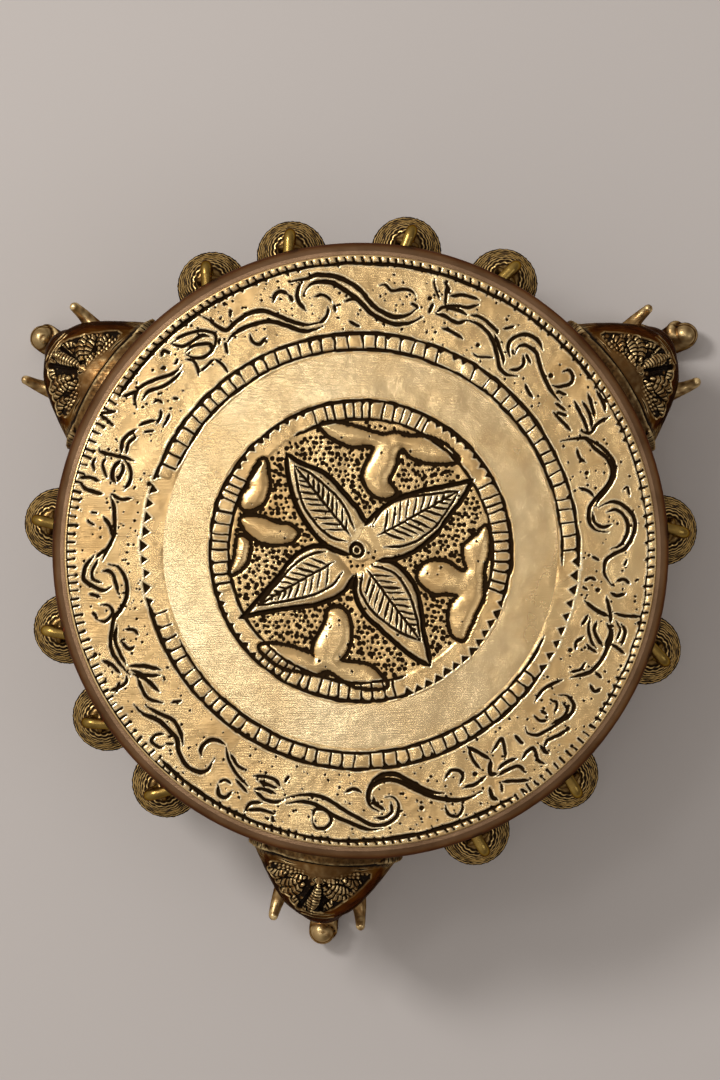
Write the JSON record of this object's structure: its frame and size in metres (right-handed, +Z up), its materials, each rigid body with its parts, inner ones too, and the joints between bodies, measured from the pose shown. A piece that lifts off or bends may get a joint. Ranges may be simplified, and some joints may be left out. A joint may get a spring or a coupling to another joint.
{
  "type": "bajot low table",
  "caption": "Low round brass table with a carved top, legs shaped as elephant heads and bells that hang from its rim.",
  "frame": {"origin": "centre of the flat top face", "axes": "+Z up, out of the top; the front leg points to -Y and slightly to -X"},
  "size_m": [0.2222, 0.2372, 0.09],
  "materials": {
    "carved_brass": "polished, dark in the carving",
    "rim_brass": "aged satin",
    "leg_brass": "aged, dark in the hollows",
    "hook_brass": "worn satin",
    "bell_brass": "aged satin",
    "clapper_brass": "satin"
  },
  "bodies": {
    "root": {"top_plate": "carved_brass", "apron_ring": "rim_brass", "leg_right": "leg_brass", "leg_left": "leg_brass", "leg_front": "leg_brass", "bell_hook_01": "hook_brass", "bell_hook_02": "hook_brass", "bell_hook_03": "hook_brass", "bell_hook_04": "hook_brass", "bell_hook_05": "hook_brass", "bell_hook_06": "hook_brass", "bell_hook_07": "hook_brass", "bell_hook_08": "hook_brass", "bell_hook_09": "hook_brass", "bell_hook_10": "hook_brass", "bell_hook_11": "hook_brass", "bell_hook_12": "hook_brass"},
    "bell_01": {"bell_01": "bell_brass"},
    "clapper_01": {"clapper_01": "clapper_brass"},
    "bell_02": {"bell_02": "bell_brass"},
    "clapper_02": {"clapper_02": "clapper_brass"},
    "bell_03": {"bell_03": "bell_brass"},
    "clapper_03": {"clapper_03": "clapper_brass"},
    "bell_04": {"bell_04": "bell_brass"},
    "clapper_04": {"clapper_04": "clapper_brass"},
    "bell_05": {"bell_05": "bell_brass"},
    "clapper_05": {"clapper_05": "clapper_brass"},
    "bell_06": {"bell_06": "bell_brass"},
    "clapper_06": {"clapper_06": "clapper_brass"},
    "bell_07": {"bell_07": "bell_brass"},
    "clapper_07": {"clapper_07": "clapper_brass"},
    "bell_08": {"bell_08": "bell_brass"},
    "clapper_08": {"clapper_08": "clapper_brass"},
    "bell_09": {"bell_09": "bell_brass"},
    "clapper_09": {"clapper_09": "clapper_brass"},
    "bell_10": {"bell_10": "bell_brass"},
    "clapper_10": {"clapper_10": "clapper_brass"},
    "bell_11": {"bell_11": "bell_brass"},
    "clapper_11": {"clapper_11": "clapper_brass"},
    "bell_12": {"bell_12": "bell_brass"},
    "clapper_12": {"clapper_12": "clapper_brass"}
  },
  "joints": [
    {"name": "bell_swing_01", "type": "hinge", "parent": "root", "child": "bell_01", "pos_m": [0.09539, 0.00634, -0.0208], "axis": [0.965, -0.2622, 0], "range_deg": [-25, 25]},
    {"name": "clapper_swing_01", "type": "hinge", "parent": "bell_01", "child": "clapper_01", "pos_m": [0.09539, 0.00634, -0.0314], "axis": [0.2622, 0.965, 0], "range_deg": [-30, 30]},
    {"name": "bell_swing_02", "type": "hinge", "parent": "root", "child": "bell_02", "pos_m": [0.04488, 0.08441, -0.0208], "axis": [0.7193, 0.6947, 0], "range_deg": [-25, 25]},
    {"name": "clapper_swing_02", "type": "hinge", "parent": "bell_02", "child": "clapper_02", "pos_m": [0.04488, 0.08441, -0.0314], "axis": [-0.6947, 0.7193, 0], "range_deg": [-30, 30]},
    {"name": "bell_swing_03", "type": "hinge", "parent": "root", "child": "bell_03", "pos_m": [0.01446, 0.0945, -0.0208], "axis": [0.3697, 0.9291, 0], "range_deg": [-25, 25]},
    {"name": "clapper_swing_03", "type": "hinge", "parent": "bell_03", "child": "clapper_03", "pos_m": [0.01446, 0.0945, -0.0314], "axis": [-0.9291, 0.3697, 0], "range_deg": [-30, 30]},
    {"name": "bell_swing_04", "type": "hinge", "parent": "root", "child": "bell_04", "pos_m": [-0.02167, 0.09311, -0.0208], "axis": [0.068, 0.9977, 0], "range_deg": [-25, 14]},
    {"name": "clapper_swing_04", "type": "hinge", "parent": "bell_04", "child": "clapper_04", "pos_m": [-0.02167, 0.09311, -0.0314], "axis": [-0.9977, 0.068, 0], "range_deg": [-30, 30]},
    {"name": "bell_swing_05", "type": "hinge", "parent": "root", "child": "bell_05", "pos_m": [-0.04679, 0.08337, -0.0208], "axis": [-0.0576, 0.9983, 0], "range_deg": [-12, 25]},
    {"name": "clapper_swing_05", "type": "hinge", "parent": "bell_05", "child": "clapper_05", "pos_m": [-0.04679, 0.08337, -0.0314], "axis": [-0.9983, -0.0576, 0], "range_deg": [-30, 30]},
    {"name": "bell_swing_06", "type": "hinge", "parent": "root", "child": "bell_06", "pos_m": [-0.09521, 0.00866, -0.0208], "axis": [-0.9736, 0.2284, 0], "range_deg": [-25, 25]},
    {"name": "clapper_swing_06", "type": "hinge", "parent": "bell_06", "child": "clapper_06", "pos_m": [-0.09521, 0.00866, -0.0314], "axis": [-0.2284, -0.9736, 0], "range_deg": [-30, 30]},
    {"name": "bell_swing_07", "type": "hinge", "parent": "root", "child": "bell_07", "pos_m": [-0.09234, -0.02474, -0.0208], "axis": [-0.9877, 0.1564, 0], "range_deg": [-25, 25]},
    {"name": "clapper_swing_07", "type": "hinge", "parent": "bell_07", "child": "clapper_07", "pos_m": [-0.09234, -0.02474, -0.0314], "axis": [-0.1564, -0.9877, 0], "range_deg": [-30, 30]},
    {"name": "bell_swing_08", "type": "hinge", "parent": "root", "child": "bell_08", "pos_m": [-0.07999, -0.05235, -0.0208], "axis": [-0.9988, 0.0489, 0], "range_deg": [-25, 25]},
    {"name": "clapper_swing_08", "type": "hinge", "parent": "bell_08", "child": "clapper_08", "pos_m": [-0.07999, -0.05235, -0.0314], "axis": [-0.0489, -0.9988, 0], "range_deg": [-30, 30]},
    {"name": "bell_swing_09", "type": "hinge", "parent": "root", "child": "bell_09", "pos_m": [-0.06119, -0.07345, -0.0208], "axis": [-0.9603, -0.279, 0], "range_deg": [-21, 25]},
    {"name": "clapper_swing_09", "type": "hinge", "parent": "bell_09", "child": "clapper_09", "pos_m": [-0.06119, -0.07345, -0.0314], "axis": [0.279, -0.9603, 0], "range_deg": [-30, 30]},
    {"name": "bell_swing_10", "type": "hinge", "parent": "root", "child": "bell_10", "pos_m": [0.03612, -0.08851, -0.0208], "axis": [0.503, -0.8643, 0], "range_deg": [-25, 25]},
    {"name": "clapper_swing_10", "type": "hinge", "parent": "bell_10", "child": "clapper_10", "pos_m": [0.03612, -0.08851, -0.0314], "axis": [0.8643, 0.503, 0], "range_deg": [-30, 30]},
    {"name": "bell_swing_11", "type": "hinge", "parent": "root", "child": "bell_11", "pos_m": [0.06422, -0.07082, -0.0208], "axis": [0.5329, -0.8462, 0], "range_deg": [-25, 25]},
    {"name": "clapper_swing_11", "type": "hinge", "parent": "bell_11", "child": "clapper_11", "pos_m": [0.06422, -0.07082, -0.0314], "axis": [0.8462, 0.5329, 0], "range_deg": [-30, 30]},
    {"name": "bell_swing_12", "type": "hinge", "parent": "root", "child": "bell_12", "pos_m": [0.09034, -0.03128, -0.0208], "axis": [0.6934, -0.7206, 0], "range_deg": [-25, 25]},
    {"name": "clapper_swing_12", "type": "hinge", "parent": "bell_12", "child": "clapper_12", "pos_m": [0.09034, -0.03128, -0.0314], "axis": [0.7206, 0.6934, 0], "range_deg": [-30, 30]}
  ]
}
